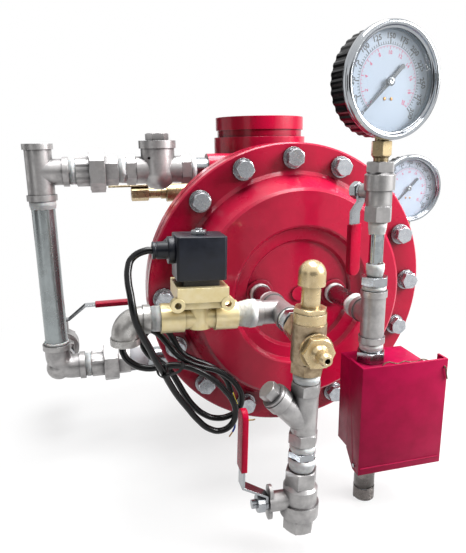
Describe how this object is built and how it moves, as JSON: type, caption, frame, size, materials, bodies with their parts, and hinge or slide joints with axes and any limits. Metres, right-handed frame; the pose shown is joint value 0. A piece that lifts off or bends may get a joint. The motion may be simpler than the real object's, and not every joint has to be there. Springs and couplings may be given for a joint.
{
  "type": "deluge valve",
  "caption": "Red diaphragm deluge valve with grooved ends, bolted round cover, solenoid and pilot trim, two gauges, ball valves, side loop and manual release box.",
  "frame": {"origin": "centre of the inlet end face", "axes": "+Z along the flow axis to the outlet, -Y out of the round cover, +X to the right seen from the front"},
  "size_m": [0.5913, 0.4079, 0.4723],
  "materials": {
    "red_paint": "gloss",
    "stainless": "satin",
    "plated_bolts": "satin",
    "galvanised": "satin",
    "brass": "satin",
    "dull_brass": "satin",
    "black_rubber": "satin",
    "black_plastic": "matte",
    "black_iron": "satin",
    "chrome": "polished",
    "window": "polished",
    "white_dial": "satin",
    "black_pointer": "satin",
    "red_vinyl": "gloss",
    "tape_white": "matte"
  },
  "bodies": {
    "root": {"valve_body": "red_paint", "seat_ring": "brass", "diaphragm": "black_rubber", "cover": "red_paint", "cover_fasteners": "plated_bolts", "half_tees": "stainless", "hex_nipples": "stainless", "bushings": "stainless", "pilot_body": "dull_brass", "pilot_bonnet": "brass", "pilot_vent": "brass", "pilot_cap": "brass", "strainer_body": "stainless", "strainer_plug": "stainless", "strainer_screen": "stainless", "drain_valve_body": "stainless", "solenoid_body": "brass", "core_tube": "stainless", "coil": "black_plastic", "cable_plug": "black_plastic", "cord": "black_rubber", "iron_elbow": "black_iron", "gauge_valve_body": "stainless", "gauge_pipes": "stainless", "gauge_cases": "black_plastic", "gauge_bezels": "chrome", "gauge_lenses": "window", "gauge_dials": "white_dial", "gauge_sockets": "brass", "release_box": "red_paint", "hinge_pins": "stainless", "release_valve_body": "stainless", "loop_fittings": "stainless", "loop_pipe": "galvanised", "loop_nipples": "stainless", "unions": "stainless", "check_body": "stainless", "check_cap": "stainless", "rear_valve_body": "stainless", "drip_valve": "brass", "thread_tape": "tape_white"},
    "clapper": {"seat_disc": "black_rubber", "diaphragm_plate": "stainless"},
    "poppet": {"pilot_poppet": "stainless"},
    "drain_handle": {"drain_stem": "stainless", "drain_lever": "stainless", "drain_sleeve": "red_vinyl"},
    "armature": {"plunger": "stainless"},
    "gauge_handle": {"gauge_stem": "stainless", "gauge_lever": "stainless", "gauge_sleeve": "red_vinyl"},
    "front_pointer": {"pointer_front": "black_pointer"},
    "back_pointer": {"pointer_rear": "black_pointer"},
    "lid": {"release_lid": "red_paint"},
    "release_handle": {"release_lever": "stainless"},
    "flap": {"check_flap": "stainless"},
    "rear_handle": {"rear_lever": "stainless", "rear_sleeve": "red_vinyl"}
  },
  "joints": [
    {"name": "drain_turn", "type": "hinge", "parent": "root", "child": "drain_handle", "pos_m": [-0.0515, -0.292, 0.0456], "axis": [0.9994, 0, -0.0349], "range_deg": [0, 90]},
    {"name": "gauge_valve_turn", "type": "hinge", "parent": "root", "child": "gauge_handle", "pos_m": [0.043, -0.241, 0.31875], "axis": [-0.4067, 0.9135, 0], "range_deg": [0, 90]},
    {"name": "rear_valve_turn", "type": "hinge", "parent": "root", "child": "rear_handle", "pos_m": [-0.275, 0.038, 0.096], "axis": [0, 0, 1], "range_deg": [0, 90]},
    {"name": "release_turn", "type": "hinge", "parent": "root", "child": "release_handle", "pos_m": [0.043, -0.241, 0.10375], "axis": [0, 1, 0], "range_deg": [0, 90]},
    {"name": "lid_swing", "type": "hinge", "parent": "root", "child": "lid", "pos_m": [0.06, -0.2585, 0.0445], "axis": [1, 0, 0], "range_deg": [0, 90]},
    {"name": "front_pointer_turn", "type": "hinge", "parent": "root", "child": "front_pointer", "pos_m": [0.04523, -0.25684, 0.4153], "axis": [-0.1392, 0.9903, 0], "range_deg": [0, 270]},
    {"name": "back_pointer_turn", "type": "hinge", "parent": "root", "child": "back_pointer", "pos_m": [0.244, 0.014, 0.297], "axis": [0, 1, 0], "range_deg": [0, 270]},
    {"name": "flap_swing", "type": "hinge", "parent": "root", "child": "flap", "pos_m": [-0.1515, -0.04, 0.35], "axis": [0, -1, 0], "range_deg": [0, 70]},
    {"name": "clapper_slide", "type": "slide", "parent": "root", "child": "clapper", "axis": [0, -1, 0], "range_m": [0, 0.018], "stiffness_N_per_m": 800, "springref_m": -0.004},
    {"name": "plunger_slide", "type": "slide", "parent": "root", "child": "armature", "axis": [0.0349, 0, 0.9994], "range_m": [0, 0.003], "stiffness_N_per_m": 150, "springref_m": -0.004},
    {"name": "poppet_slide", "type": "slide", "parent": "root", "child": "poppet", "axis": [0.0349, 0, 0.9994], "range_m": [0, 0.003], "stiffness_N_per_m": 150, "springref_m": -0.004}
  ]
}
